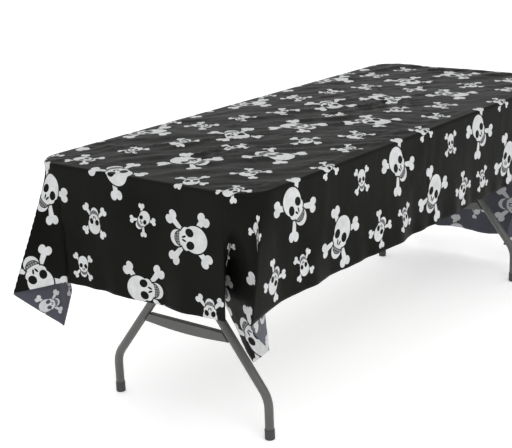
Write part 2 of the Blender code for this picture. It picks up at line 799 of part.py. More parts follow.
def build_table():
    table = body("table", (0, 0, 0))
    add_board(table)
    add_edge_band(table)
    add_screws(table)
    for side in (LEFT, RIGHT):
        add_rail(table, side)
    for end in (NEAR, FAR):
        add_centre_bracket(table, end)
        legs = body(END_NAME[end] + "_legs", (end * LEG_X, 0, PIVOT_Z))
        add_pivot_tube(legs, end)
        for side in (LEFT, RIGHT):
            add_leg(legs, end, side)
            add_foot_cap(legs, end, side)
            add_brace_lug(legs, end, side)
        add_lower_crossbar(legs, end)
        add_upper_crossbar(legs, end)
        add_brace_rod(body(END_NAME[end] + "_brace_upper", (end * BRACKET_X, 0, BRACKET_Z)), end)
        lug = (end * (LEG_X - LUG_REACH), 0, PIVOT_Z - UPPER_BAR_DROP)
        add_brace_bars(body(END_NAME[end] + "_brace_lower", lug), end)
    add_tablecloth(body("cloth", (0, 0, BOARD_TOP)))


build_table()
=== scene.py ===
"""The looks of a folding banquet table under a printed film tablecloth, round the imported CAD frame.

Metres, +Z up, the CAD's own frame: the origin is on the floor under the table's middle, the near end
is -X and the left side is +Y. "Flat" coordinates (s, t) are places on the cloth before it is hung:
s runs along the table and t across it, both from the table's middle.
"""

import json
import math

import bpy
import numpy as np
from mathutils import Matrix, Vector


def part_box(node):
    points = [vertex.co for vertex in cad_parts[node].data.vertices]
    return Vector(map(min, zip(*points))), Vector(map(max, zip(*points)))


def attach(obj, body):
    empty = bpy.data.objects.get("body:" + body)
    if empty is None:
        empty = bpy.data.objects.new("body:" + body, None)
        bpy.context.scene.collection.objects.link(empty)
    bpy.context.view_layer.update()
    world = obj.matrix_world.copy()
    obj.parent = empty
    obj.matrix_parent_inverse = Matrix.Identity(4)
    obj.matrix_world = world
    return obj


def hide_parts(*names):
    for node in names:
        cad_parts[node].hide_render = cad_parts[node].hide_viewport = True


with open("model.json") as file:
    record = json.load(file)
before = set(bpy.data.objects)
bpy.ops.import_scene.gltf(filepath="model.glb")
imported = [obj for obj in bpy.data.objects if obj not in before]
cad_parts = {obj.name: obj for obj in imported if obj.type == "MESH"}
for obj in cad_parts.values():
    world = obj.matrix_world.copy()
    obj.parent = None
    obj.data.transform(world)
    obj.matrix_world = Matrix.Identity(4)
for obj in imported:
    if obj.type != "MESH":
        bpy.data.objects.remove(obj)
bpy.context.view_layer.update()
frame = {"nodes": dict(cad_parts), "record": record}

# ---------------------------------------------------------------- driving sizes

TABLE_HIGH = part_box("tabletop")[1]
HALF_LENGTH = TABLE_HIGH.x
HALF_WIDTH = TABLE_HIGH.y
BOARD_TOP = TABLE_HIGH.z

# The cloth is nominally 54 x 108 inches, laid centred across the table and pulled towards the far end.
# FILM is its thickness, LIE its middle's height over the board, BEND_RADIUS its bend over the edge.
CLOTH_WIDTH = 1.350
CLOTH_LENGTH = 2.800
CLOTH_SHIFT = 0.1505
FILM = 0.0004
LIE = 0.0012
BEND_RADIUS = 0.007
S_NEAR = CLOTH_SHIFT - CLOTH_LENGTH / 2
S_FAR = CLOTH_SHIFT + CLOTH_LENGTH / 2
T_EDGE = CLOTH_WIDTH / 2

# The print repeats along the roll. A motif's size is the half length of its bones.
REPEAT = 0.496
LARGE = 0.089
MEDIUM = 0.055
SMALL = 0.045

# Colours, each as its darkest and lightest tint, or as one tint.
GROUND = ((0.0062, 0.0064, 0.0055), (0.0105, 0.0108, 0.0094))
BONE = ((0.50, 0.51, 0.51), (0.62, 0.63, 0.635))
TEETH = (0.22, 0.22, 0.23)
BACK_GROUND = ((0.040, 0.042, 0.058), (0.058, 0.060, 0.080))
BACK_BONE = ((0.42, 0.425, 0.44), (0.55, 0.555, 0.57))
BACK_TEETH = (0.12, 0.125, 0.15)
COAT = ((0.068, 0.070, 0.064), (0.082, 0.084, 0.077))
ZINC = ((0.50, 0.51, 0.53), (0.66, 0.67, 0.68))
BOARD = ((0.60, 0.59, 0.56), (0.66, 0.65, 0.62))
FOOT = ((0.034, 0.034, 0.033), (0.046, 0.046, 0.045))


# ---------------------------------------------------------------- camera, lights and floor

CAMERA_PLACE = (-2.979, -2.023, 1.471)
CAMERA_TURN = (38.26, 16.88, -2.23)
CAMERA_LENS = 81.2
WORLD_STRENGTH = 0.80
KEY_POWER = 62
TOP_POWER = 16
FLOOR_HALF = 300.0
FLOOR_GLOW = 0.36


def add_camera():
    """A long lens off the table's right near corner; CAMERA_TURN is yaw, pitch down and roll."""
    yaw, pitch, roll = (math.radians(angle) for angle in CAMERA_TURN)
    forward = Vector(
        (math.cos(pitch) * math.cos(yaw), math.cos(pitch) * math.sin(yaw), -math.sin(pitch))
    )
    right = forward.cross(Vector((0, 0, 1))).normalized()
    up = right.cross(forward)
    tilted_right = math.cos(roll) * right + math.sin(roll) * up
    tilted_up = math.cos(roll) * up - math.sin(roll) * right
    data = bpy.data.cameras.new("camera")
    data.sensor_width = 36
    data.lens = CAMERA_LENS
    data.clip_start = 0.1
    data.clip_end = 1000
    camera = bpy.data.objects.new("camera", data)
    bpy.context.scene.collection.objects.link(camera)
    turn = Matrix((tilted_right, tilted_up, -forward)).transposed().to_4x4()
    camera.matrix_world = Matrix.Translation(CAMERA_PLACE) @ turn
    bpy.context.scene.camera = camera


def add_area_light(name, place, target, size, power):
    """A rectangular soft light at a place, facing a target."""
    data = bpy.data.lights.new(name, "AREA")
    data.shape = "RECTANGLE"
    data.size, data.size_y = size
    data.energy = power
    light = bpy.data.objects.new(name, data)
    bpy.context.scene.collection.objects.link(light)
    light.location = place
    light.rotation_mode = "QUATERNION"
    light.rotation_quaternion = (Vector(target) - Vector(place)).to_track_quat("-Z", "Y")


def add_studio():
    """An even white surround, a soft key light, a weaker top light and a plain pale floor."""
    world = bpy.data.worlds.new("studio")
    bpy.context.scene.world = world
    world.use_nodes = True
    background = world.node_tree.nodes["Background"]
    background.inputs["Color"].default_value = (1, 1, 1, 1)
    background.inputs["Strength"].default_value = WORLD_STRENGTH
    add_area_light("key", (-2.4, -3.2, 3.4), (0, 0, 0.5), (2.6, 2.0), KEY_POWER)
    add_area_light("top", (0.6, 1.6, 3.6), (0.2, 0, 0.7), (3.2, 1.6), TOP_POWER)
    bpy.context.scene.view_settings.view_transform = "Standard"

    floor_mesh = bpy.data.meshes.new("floor")
    square = ((-1, -1), (1, -1), (1, 1), (-1, 1))
    corners = [(FLOOR_HALF * x, FLOOR_HALF * y, 0) for x, y in square]
    floor_mesh.from_pydata(corners, [], [(0, 1, 2, 3)])
    floor = bpy.data.objects.new("floor", floor_mesh)
    bpy.context.scene.collection.objects.link(floor)
    paint = bpy.data.materials.new("floor_paint")
    paint.use_nodes = True
    shader = paint.node_tree.nodes["Principled BSDF"]
    shader.inputs["Base Color"].default_value = (0.94, 0.94, 0.94, 1)
    shader.inputs["Roughness"].default_value = 0.9
    shader.inputs["Emission Color"].default_value = (1, 1, 1, 1)
    shader.inputs["Emission Strength"].default_value = FLOOR_GLOW
    floor_mesh.materials.append(paint)


# ---------------------------------------------------------------- a small language for shader nodes


class Signal:
    """A socket's value in a node tree, so that a formula reads as one."""

    def __init__(self, tree, socket):
        self.tree = tree
        self.socket = socket

    def math(self, operation, *others):
        """The result of a math node on this signal and other signals or numbers."""
        node = self.tree.nodes.new("ShaderNodeMath")
        node.operation = operation
        for i, value in enumerate((self, *others)):
            if isinstance(value, Signal):
                self.tree.links.new(value.socket, node.inputs[i])
            else:
                node.inputs[i].default_value = value
        return Signal(self.tree, node.outputs[0])

    def __add__(self, other):
        return self.math("ADD", other)

    def __sub__(self, other):
        return self.math("SUBTRACT", other)

    def __mul__(self, other):
        return self.math("MULTIPLY", other)

    def __truediv__(self, other):
        return self.math("DIVIDE", other)

    def abs(self):
        return self.math("ABSOLUTE")

    def most(self, other):
        """The greater of two, which joins two masks."""
        return self.math("MAXIMUM", other)

    def below(self, edge):
        """1 where the value is under edge, and 0 elsewhere."""
        return self.math("LESS_THAN", edge)


def new_material(name, roughness, metallic=0.0):
    """A material with its node tree and its shader."""
    material = bpy.data.materials.new(name)
    material.use_nodes = True
    shader = material.node_tree.nodes["Principled BSDF"]
    shader.inputs["Roughness"].default_value = roughness
    shader.inputs["Metallic"].default_value = metallic
    return material, material.node_tree, shader


def place_signal(tree, scale=(1, 1, 1)):
    """Object coordinates scaled for a texture."""
    where = tree.nodes.new("ShaderNodeTexCoord")
    sized = tree.nodes.new("ShaderNodeVectorMath")
    sized.operation = "MULTIPLY"
    sized.inputs[1].default_value = scale
    tree.links.new(where.outputs["Object"], sized.inputs[0])
    return sized.outputs[0]


def noise(tree, vector, scale, detail, roughness=0.5):
    """A noise signal from 0 to 1, scale lumps to a metre."""
    node = tree.nodes.new("ShaderNodeTexNoise")
    node.inputs["Scale"].default_value = scale
    node.inputs["Detail"].default_value = detail
    node.inputs["Roughness"].default_value = roughness
    tree.links.new(vector, node.inputs["Vector"])
    return Signal(tree, node.outputs[0])


def ramp(tree, signal, low, high, colour_low, colour_high):
    """A colour that runs from one to another as the signal goes from low to high."""
    node = tree.nodes.new("ShaderNodeValToRGB")
    node.color_ramp.elements[0].position = low
    node.color_ramp.elements[0].color = (*colour_low, 1)
    node.color_ramp.elements[1].position = high
    node.color_ramp.elements[1].color = (*colour_high, 1)
    tree.links.new(signal.socket, node.inputs[0])
    return node.outputs[0]


def mix_colour(tree, share, first, second):
    """first where share is 0, second where it is 1; each is a colour or a socket."""
    node = tree.nodes.new("ShaderNodeMix")
    node.data_type = "RGBA"
    tree.links.new(share.socket, node.inputs["Factor"])
    for name, colour in (("A", first), ("B", second)):
        socket = next(s for s in node.inputs if s.name == name and s.type == "RGBA")
        if isinstance(colour, tuple):
            socket.default_value = (*colour, 1)
        else:
            tree.links.new(colour, socket)
    return next(s for s in node.outputs if s.type == "RGBA")


def add_bump(tree, shader, signal, distance, strength):
    """Relief that rises by up to distance with the signal."""
    bump = tree.nodes.new("ShaderNodeBump")
    bump.inputs["Strength"].default_value = strength
    bump.inputs["Distance"].default_value = distance
    tree.links.new(signal.socket, bump.inputs["Height"])
    tree.links.new(bump.outputs["Normal"], shader.inputs["Normal"])


def spread(tree, shader, signal, low, high):
    """Roughness that varies from low to high with the signal."""
    node = tree.nodes.new("ShaderNodeMapRange")
    node.inputs["To Min"].default_value = low
    node.inputs["To Max"].default_value = high
    tree.links.new(signal.socket, node.inputs["Value"])
    tree.links.new(node.outputs[0], shader.inputs["Roughness"])


# ---------------------------------------------------------------- the print


def ellipse(u, v, centre, radii, turn=0.0):
    """The scaled distance from an ellipse's centre: under 1 inside it."""
    du = u - centre[0]
    dv = v - centre[1]
    if turn:
        c, s = math.cos(turn), math.sin(turn)
        du, dv = du * c + dv * s, dv * c - du * s
    du = du / radii[0]
    dv = dv / radii[1]
    return (du * du + dv * dv).math("SQRT")


def crossed_bones(u, v):
    """1 on two crossed bones with a two-lobed knob at each end; all four arms fold onto one."""
    fold_u, fold_v = u.abs(), v.abs()
    along = (fold_u + fold_v) * math.sqrt(0.5)
    across = ((fold_u - fold_v) * math.sqrt(0.5)).abs()
    knob = ellipse(along, across, (0.855, 0.108), (0.145, 0.122)).below(1.0)
    width = (along * along) * 0.070 + 0.060
    shaft = (across - width).below(0.0) * along.below(0.88)
    return knob.most(shaft)


def skull_print(tree):
    """(bone, grey) masks of one motif, drawn in the coordinates of the mesh's layer "motif"."""
    layer = tree.nodes.new("ShaderNodeUVMap")
    layer.uv_map = "motif"
    split = tree.nodes.new("ShaderNodeSeparateXYZ")
    tree.links.new(layer.outputs[0], split.inputs[0])
    u = Signal(tree, split.outputs[0])
    v = Signal(tree, split.outputs[1])
    side = u.abs()

    cranium = ellipse(u, v, (0.0, 0.23), (0.400, 0.44))
    cheeks = ellipse(side, v, (0.0, -0.09), (0.345, 0.22))
    jaw = ellipse(u, v, (0.0, -0.42), (0.245, 0.26))
    # The head, and the black line round it that keeps the bones apart from it.
    head = cranium.below(1.0).most(cheeks.below(1.0)).most(jaw.below(1.0))
    ink_line = cranium.below(1.11).most(cheeks.below(1.16)).most(jaw.below(1.18))

    # The dark places in the face; the smile is a crescent of the mouth, with the teeth inside it.
    sockets = ellipse(side, v, (0.185, 0.045), (0.125, 0.150), 0.25).below(1.0)
    nose = ellipse(side, v, (0.055, -0.175), (0.032, 0.085), -0.35).below(1.0)
    notch = ellipse(side, v, (0.40, -0.26), (0.12, 0.075)).below(1.0)
    mouth = ellipse(u, v, (0.0, -0.33), (0.230, 0.205))
    lip = ellipse(u, v, (0.0, -0.22), (0.290, 0.130)).below(1.0)
    smile = mouth.below(1.0) * (lip * -1.0 + 1.0)
    gum = ellipse(u, v, (0.0, -0.22), (0.310, 0.150)).below(1.0)
    teeth = mouth.below(0.88) * (gum * -1.0 + 1.0)
    gaps = ((u * 13.0).math("FRACT") - 0.5).abs().below(0.12)
    bite = (v + 0.440).abs().below(0.010)
    grey = teeth * (gaps.most(bite) * -1.0 + 1.0)
    dark = sockets.most(nose).most(notch).most(smile)
    face = head * (dark * -1.0 + 1.0)
    bones = crossed_bones(u, v) * (ink_line * -1.0 + 1.0)
    return face.most(bones), grey


def film_material(name, ground, bone, teeth, roughness, shine):
    """Printed film: a black ground with soft blotches, and the motif in off-white."""
    material, tree, shader = new_material(name, roughness)
    bone_mask, grey_mask = skull_print(tree)
    wide = noise(tree, place_signal(tree), 5.0, 3.0)
    tint = ramp(tree, wide, 0.3, 0.7, *ground)
    worn = noise(tree, place_signal(tree), 42.0, 4.0, 0.6)
    ink = ramp(tree, worn, 0.3, 0.7, *bone)
    printed = mix_colour(tree, bone_mask, tint, ink)
    tree.links.new(mix_colour(tree, grey_mask, printed, teeth), shader.inputs["Base Color"])
    fine = noise(tree, place_signal(tree, (1, 0.35, 1)), 120.0, 3.0, 0.6)
    creased = noise(tree, place_signal(tree, (1, 0.55, 0.8)), 26.0, 4.0, 0.62)
    spread(tree, shader, fine, roughness - 0.06, roughness + 0.1)
    add_bump(tree, shader, creased * 0.8 + fine * 0.2, 0.004, 0.35)
    shader.inputs["Specular IOR Level"].default_value = shine
    return material


# Each motif in one repeat: place along the roll from the near edge of the board and across it from the
# middle, size, and turn in degrees from upright.
MOTIFS = (
    (0.172, -0.449, LARGE, 36),
    (0.478, -0.450, SMALL, 0),
    (0.368, -0.580, LARGE, -31),
    (0.064, -0.609, MEDIUM, 138),
    (0.195, -0.608, SMALL, 192),
    (0.332, -0.374, SMALL, 95),
    (0.022, -0.313, SMALL, 74),
    (0.177, -0.245, MEDIUM, 89),
    (0.360, -0.184, LARGE, 183),
    (0.044, -0.160, MEDIUM, 127),
    (0.385, -0.028, SMALL, 227),
    (0.196, -0.024, LARGE, 3),
    (0.018, 0.074, LARGE, 145),
    (0.356, 0.150, MEDIUM, 85),
    (0.218, 0.205, SMALL, 268),
    (0.072, 0.250, MEDIUM, -2),
    (0.416, 0.336, LARGE, 222),
    (0.195, 0.415, LARGE, 107),
    (0.055, 0.375, SMALL, 70),
    (0.318, 0.465, SMALL, 160),
    (0.040, 0.520, LARGE, 300),
    (0.400, 0.580, LARGE, 15),
    (0.190, 0.600, SMALL, 130),
    (0.290, 0.645, SMALL, 200),
)

# One large motif at the near right corner breaks the repeat.
ODD_MOTIF = (-0.274, -0.622, LARGE, 190)


def motif_layer(centres):
    """Place, size and turn of the motif nearest to each of the flat places."""
    along = centres[:, 0] + HALF_LENGTH
    best = np.full(len(centres), np.inf)
    chosen = np.zeros((len(centres), 4))
    for s, t, size, turn in MOTIFS:
        repeats = np.round((along - s) / REPEAT)
        ds = along - s - repeats * REPEAT
        dt = centres[:, 1] - t
        away = np.hypot(ds, dt) / size
        nearer = away < best
        best[nearer] = away[nearer]
        place = np.stack([s + repeats * REPEAT - HALF_LENGTH, np.full(len(centres), t)], 1)
        chosen[nearer, :2] = place[nearer]
        chosen[nearer, 2] = size
        chosen[nearer, 3] = math.radians(turn)
    s, t, size, turn = ODD_MOTIF
    covered = np.hypot(along - s, centres[:, 1] - t) < size
    chosen[covered] = (s - HALF_LENGTH, t, size, math.radians(turn))
    return chosen


def motif_uv(flat, chosen):
    """Flat places in the chosen motifs' coordinates: v is up the skull, 1 is a bone's half length."""
    ds, dt = (flat - chosen[:, :2]).T / chosen[:, 2]
    c, s = np.cos(chosen[:, 3]), np.sin(chosen[:, 3])
    return np.stack([ds * c + dt * s, dt * c - ds * s], 1)


# ---------------------------------------------------------------- where the flat cloth meets the table

# CORNER is the radius of the board's corners, and the film starts to bend BEND_START inside its edge.
# HEM_DEPTH is the depth at which FOLDS draws a corner's hem. A fold that runs inward by more than
# WRAP_SLOPE starts below the rim, and every fold opens gradually over ONSET. The film leans by at
# most MOST_TILT, the sine of its angle from the vertical.
CORNER = 0.085
BEND_START = 0.003
HEM_DEPTH = 0.33
RIM_HEIGHT = 0.050
WRAP_SLOPE = 0.10
ONSET = 0.025
MOST_TILT = 0.92
INNER_LENGTH = HALF_LENGTH - CORNER
INNER_WIDTH = HALF_WIDTH - CORNER
ARC_RADIUS = CORNER + HEM_DEPTH
QUARTER_TURN = math.pi / 2

# Flat grid lines round the board's edge, as distances inside it, and the grid's cells elsewhere.
EDGE_LINES = (-0.012, -0.007, -0.003, 0.000, 0.003, 0.006, 0.009, 0.014)
CORNER_LINES = 17
MIDDLE_CELL = 0.0118
NEAR_CELL = 0.0072
FAR_CELL = 0.0088
SIDE_CELL = 0.0078


def cloth_lines(low, high, half, low_cell, high_cell):
    """Lines of the flat grid along one axis: close over the board's edges, finer outside the board."""
    over_corner = np.linspace(EDGE_LINES[-1], 1.15 * CORNER, CORNER_LINES + 1)[1:]
    close = np.concatenate([EDGE_LINES, over_corner])
    near_edge, far_edge = -half + close, half - close[::-1]
    spans = (
        (low, near_edge.min(), low_cell),
        (near_edge.max(), far_edge.min(), MIDDLE_CELL),
        (far_edge.max(), high, high_cell),
    )
    parts = []
    for start, end, cell in spans:
        count = max(2, round((end - start) / cell))
        parts.append(np.linspace(start, end, count + 1))
    return np.unique(np.round(np.concatenate([*parts, near_edge, far_edge]), 6))


def outline_place(s, t):
    """For flat places: depth beyond the table's outline, the outline point and its outward normal.

    The station is the length along the hem at HEM_DEPTH, from the start of the corner's arc: under 0
    on the end panel, and past ARC_RADIUS * QUARTER_TURN on the side panel.
    """
    across_s, across_t = np.abs(s) - INNER_LENGTH, np.abs(t) - INNER_WIDTH
    sign_s, sign_t = np.where(s < 0, -1.0, 1.0), np.where(t < 0, -1.0, 1.0)
    at_corner = (across_s > 0) & (across_t > 0)
    at_end = (across_s > across_t) & ~at_corner
    reach = np.hypot(across_s, across_t)
    safe = np.maximum(reach, 1e-9)
    normal_s = np.where(at_corner, across_s / safe, np.where(at_end, 1.0, 0.0))
    normal_t = np.where(at_corner, across_t / safe, np.where(at_end, 0.0, 1.0))
    depth = np.where(at_corner, reach, np.where(at_end, across_s, across_t)) - CORNER
    edge_s = np.where(at_corner, INNER_LENGTH, np.where(at_end, INNER_LENGTH, np.abs(s)))
    edge_t = np.where(at_corner, INNER_WIDTH, np.where(at_end, np.abs(t), INNER_WIDTH))
    angle = np.arctan2(normal_t, normal_s)
    station = ARC_RADIUS * angle
    station = station + np.where(at_end, np.minimum(across_t, 0), 0)
    station = station + np.where(~at_end & ~at_corner, np.maximum(-across_s, 0), 0)
    return {
        "depth": depth,
        "edge": np.stack([edge_s * sign_s, edge_t * sign_t], -1),
        "normal": np.stack([normal_s * sign_s, normal_t * sign_t], -1),
        "sign_s": sign_s,
        "sign_t": sign_t,
        "station": station,
    }


# ---------------------------------------------------------------- how the corners hang

# Each corner's hem as seen from above, at a depth of HEM_DEPTH: metres beyond the table's sharp
# corner, first outward from the end and then outward from the long side. It runs from the end panel
# round to the side panel. hem_curve gives it the length of the flat hem, so the slack film lies in
# its folds.
FOLDS = {
    ("near", "left"): (
        (0.000, -0.190),
        (0.008, -0.108),
        (-0.018, -0.126),
        (0.100, -0.010),
        (-0.006, -0.060),
        (-0.075, -0.030),
        (-0.035, 0.082),
        (-0.075, 0.010),
        (-0.110, -0.015),
        (-0.090, 0.004),
        (-0.170, 0.000),
    ),
    ("near", "right"): (
        (0.000, -0.190),
        (0.004, -0.087),
        (-0.115, -0.200),
        (-0.065, -0.078),
        (-0.055, -0.008),
        (0.076, 0.037),
        (-0.100, 0.006),
        (-0.200, 0.000),
    ),
    ("far", "left"): (
        (0.000, -0.200),
        (0.003, -0.115),
        (-0.055, -0.140),
        (0.055, -0.040),
        (-0.065, -0.080),
        (-0.015, 0.022),
        (-0.115, -0.065),
        (-0.100, 0.000),
        (-0.220, 0.000),
    ),
    ("far", "right"): (
        (0.000, -0.190),
        (0.004, -0.100),
        (-0.050, -0.125),
        (0.055, -0.030),
        (-0.060, -0.075),
        (-0.020, 0.020),
        (-0.120, -0.060),
        (-0.105, 0.000),
        (-0.220, 0.000),
    ),
}
FOLD_ROUNDING = 0.0055
FOLD_STEP = 0.001
ROUNDING_STEPS = 24
LENGTHENING_ROUNDS = 12


def lengthened(keys, wanted):
    """The keys moved away from the straight line between their ends until their path has a length."""
    keys = keys.copy()
    line = keys[0] + (keys[-1] - keys[0]) * np.linspace(0, 1, len(keys))[:, None]
    for _ in range(LENGTHENING_ROUNDS):
        scale = wanted / np.hypot(*np.diff(keys, axis=0).T).sum()
        keys[1:-1] = line[1:-1] + (keys[1:-1] - line[1:-1]) * scale
    return keys


def rounded(curve):
    """The curve with its bends rounded, as if it ran on straight past both ends."""
    steps = np.arange(1, ROUNDING_STEPS + 1)[:, None]
    before = (curve[0] - curve[1]) * steps[::-1] + curve[0]
    after = (curve[-1] - curve[-2]) * steps + curve[-1]
    padded = np.concatenate([before, curve, after])
    reach = np.arange(-ROUNDING_STEPS, ROUNDING_STEPS + 1) * FOLD_STEP
    weight = np.exp(-0.5 * (reach / FOLD_ROUNDING) ** 2)
    weight = weight / weight.sum()
    return np.stack([np.convolve(padded[:, i], weight, "valid") for i in (0, 1)], 1)


def hem_curve(keys):
    """Directions along a corner's hem: stations, and the two outward slopes at each of them."""
    keys = np.array(keys)
    start = keys[0, 1] + CORNER
    end = -keys[-1, 0] - CORNER
    stations = np.arange(start, ARC_RADIUS * QUARTER_TURN + end, FOLD_STEP)
    wanted = stations[-1] - stations[0]
    keys = lengthened(keys, wanted)
    lengths = np.concatenate([[0], np.cumsum(np.hypot(*np.diff(keys, axis=0).T))])
    lengths = lengths / lengths[-1] * wanted
    run = stations - stations[0]
    curve = np.stack([np.interp(run, lengths, keys[:, i]) for i in (0, 1)], 1)
    angle = np.clip(stations / ARC_RADIUS, 0, QUARTER_TURN)
    origin = np.stack([np.cos(angle) - 1, np.sin(angle) - 1], 1) * CORNER
    origin[:, 1] += np.minimum(stations, 0)
    origin[:, 0] -= np.maximum(stations - ARC_RADIUS * QUARTER_TURN, 0)
    return stations, (rounded(curve) - origin) / HEM_DEPTH


def hang_slopes(place):
    """Outward slopes (along s and t) of the film below each outline point."""
    slope_s, slope_t = np.zeros_like(place["depth"]), np.zeros_like(place["depth"])
    for (end, side), keys in FOLDS.items():
        sign_s = -1.0 if end == "near" else 1.0
        sign_t = 1.0 if side == "left" else -1.0
        stations, slopes = hem_curve(keys)
        here = (place["sign_s"] == sign_s) & (place["sign_t"] == sign_t)
        inside = here & (place["station"] > stations[0]) & (place["station"] < stations[-1])
        for i, out in ((0, slope_s), (1, slope_t)):
            out[inside] = np.interp(place["station"][inside], stations, slopes[:, i])
        slope_s[inside] *= sign_s
        slope_t[inside] *= sign_t
    return slope_s, slope_t


# ---------------------------------------------------------------- creases

# Each kind of crease: its length, its width, its turn from the table's length in radians and its seed.
LONG_STREAKS = (0.30, 0.038, -0.72, 3)
SHORT_STREAKS = (0.20, 0.050, -0.25, 5)
SMALL_CREASES = (0.09, 0.022, -1.0, 7)
UPRIGHT_CREASES = (0.20, 0.050, 1.4, 11)

# How far the creases stand off the film where it lies and where it hangs, and the distances from the
# board's edge over which they grow to that.
STREAK_RISE = 0.0080
SMALL_RISE = 0.0028
PACKET_RISE = 0.0012
LYING_LIFT = 0.0004
HUNG_UPRIGHT_RISE = 0.0012
HUNG_SMALL_RISE = 0.0006
LYING_FADE = 0.03
HUNG_FADE = 0.04

# Creases are strong and weak in patches, and they bend sideways as they run: CREASE_BEND widths, and
# CREASE_BEND_RATE times in their own length.
PATCH = 0.3
PATCH_SEED = 17
CREASE_BEND = 1.6
CREASE_BEND_RATE = 0.7

# The grid of the packet's folds, counted with the hems.
PACKET_WIDTH = 0.006
PACKET_LINES_ACROSS = 13
PACKET_LINES_ALONG = 5

# The hanging panels' waves: their length, their outward slope and their seed. The panels lean out by
# MEAN_SWAY on the whole. The waves die out within WAVE_FADE of a corner, and the two short kinds grow
# with depth down to WAVE_DEPTH.
SLOW_WAVES = (0.23, 0.034, 23)
QUICK_WAVES = (0.085, 0.026, 29)
RIPPLES = (0.042, 0.022, 31)
MEAN_SWAY = 0.018
WAVE_FADE = 0.16
WAVE_DEPTH = 0.3


def lattice_noise(x, y, seed):
    """Smooth noise from -1 to 1, one lump to a unit."""
    table = np.random.default_rng(seed).uniform(-1, 1, (64, 64))
    column, row = np.floor(x).astype(int), np.floor(y).astype(int)
    fx, fy = x - column, y - row
    fx, fy = fx * fx * (3 - 2 * fx), fy * fy * (3 - 2 * fy)
    corner = [table[(column + i) % 64, (row + j) % 64] for i in (0, 1) for j in (0, 1)]
    low = corner[0] * (1 - fy) + corner[1] * fy
    high = corner[2] * (1 - fy) + corner[3] * fy
    return low * (1 - fx) + high * fx


def crinkle(s, t, length, width, turn, seed):
    """Sharp-topped ridges about length long and width apart, running at an angle to the table."""
    c, d = math.cos(turn), math.sin(turn)
    along, across = s * c + t * d, t * c - s * d
    rate = CREASE_BEND_RATE
    bend = lattice_noise(along / length * rate, across / length * rate, seed + 1)
    bend = bend * width * CREASE_BEND
    return 1 - np.abs(lattice_noise(along / length, (across + bend) / width, seed)) * 2


def packet_creases(s, t):
    """The film was packed folded, and it keeps a grid of faint straight ridges and valleys."""
    total = np.zeros_like(s)
    across = np.linspace(S_NEAR, S_FAR, PACKET_LINES_ACROSS)[1:-1]
    along = np.linspace(-T_EDGE, T_EDGE, PACKET_LINES_ALONG)[1:-1]
    for value, lines in ((s, across), (t, along)):
        for i, at in enumerate(lines):
            total += np.exp(-np.abs(value - at) / PACKET_WIDTH) * (1 if i % 2 else -1)
    return total


def crease_height(s, t, depth):
    """How far the film stands off its smooth shape, in metres."""
    on_top = np.clip(-depth / LYING_FADE, 0, 1)
    below = np.clip(depth / HUNG_FADE, 0, 1)
    streaks = crinkle(s, t, *LONG_STREAKS) * 0.5 + crinkle(s, t, *SHORT_STREAKS) * 0.5
    small = crinkle(s, t, *SMALL_CREASES)
    upright = crinkle(s, t, *UPRIGHT_CREASES)
    packet = PACKET_RISE * packet_creases(s, t)
    lying = STREAK_RISE * streaks + SMALL_RISE * small + packet + LYING_LIFT
    hung = HUNG_UPRIGHT_RISE * upright + HUNG_SMALL_RISE * small + packet
    patch = 0.55 + 0.45 * lattice_noise(s / PATCH, t / PATCH, PATCH_SEED)
    return np.where(depth < 0, np.maximum(lying * on_top * patch, 0), hung * below * patch)


def panel_sway(s, t, depth):
    """Slow outward waves of the hanging panels, as a slope, dying out towards the corners."""
    end_panel = np.abs(s) > HALF_LENGTH
    to_corner = np.where(end_panel, INNER_WIDTH - np.abs(t), INNER_LENGTH - np.abs(s))
    inner = np.clip(to_corner / WAVE_FADE, 0, 1)
    low = np.clip(depth / WAVE_DEPTH, 0, 1)
    run = np.where(end_panel, t, s)
    # The end panels read other rows of the noise than the side panels.
    row = 0.5 + end_panel * 9
    waves = MEAN_SWAY
    for (length, slope, seed), skip, share in (
        (SLOW_WAVES, 0, 1),
        (QUICK_WAVES, 2, low),
        (RIPPLES, 4, low**4),
    ):
        waves = waves + slope * lattice_noise(run / length, row + skip, seed) * share
    return waves * inner * inner * (3 - 2 * inner)


# ---------------------------------------------------------------- the cloth itself


def drape(s, t):
    """Places in space for flat places of the film's middle, and their depths beyond the outline."""
    place = outline_place(s, t)
    slope_s, slope_t = hang_slopes(place)
    normal = place["normal"]
    depth = place["depth"] + BEND_START
    sway = panel_sway(s, t, depth)
    slope_s = slope_s + normal[:, 0] * sway
    slope_t = slope_t + normal[:, 1] * sway
    steepness = np.hypot(slope_s, slope_t)
    tilt = np.minimum(steepness, MOST_TILT)
    grow = tilt / np.maximum(steepness, 1e-9)
    slope_s, slope_t = slope_s * grow, slope_t * grow
    fall = np.sqrt(1 - tilt**2)

    hanging = depth > 0
    bend = np.clip(depth / BEND_RADIUS, 0, QUARTER_TURN)
    rest = np.maximum(depth - BEND_RADIUS * QUARTER_TURN, 0)
    level = BOARD_TOP + LIE
    base = place["edge"] + normal * (CORNER - BEND_START)
    out = base + normal * (BEND_RADIUS * np.sin(bend))[:, None]
    inward = np.clip(-(slope_s * normal[:, 0] + slope_t * normal[:, 1]) / WRAP_SLOPE, 0, 1)
    wrapped = RIM_HEIGHT * inward * inward * (3 - 2 * inward)
    swung = np.maximum(rest - wrapped, 0)
    swung = swung - ONSET * (1 - np.exp(-swung / ONSET))
    grown = swung * HEM_DEPTH / (HEM_DEPTH - wrapped - ONSET)
    x = np.where(hanging, out[:, 0] + grown * slope_s, s)
    y = np.where(hanging, out[:, 1] + grown * slope_t, t)
    drop = rest - swung * (1 - fall)
    z = np.where(hanging, level - BEND_RADIUS * (1 - np.cos(bend)) - drop, level)
    return np.stack([x, y, z], 1), place["depth"]


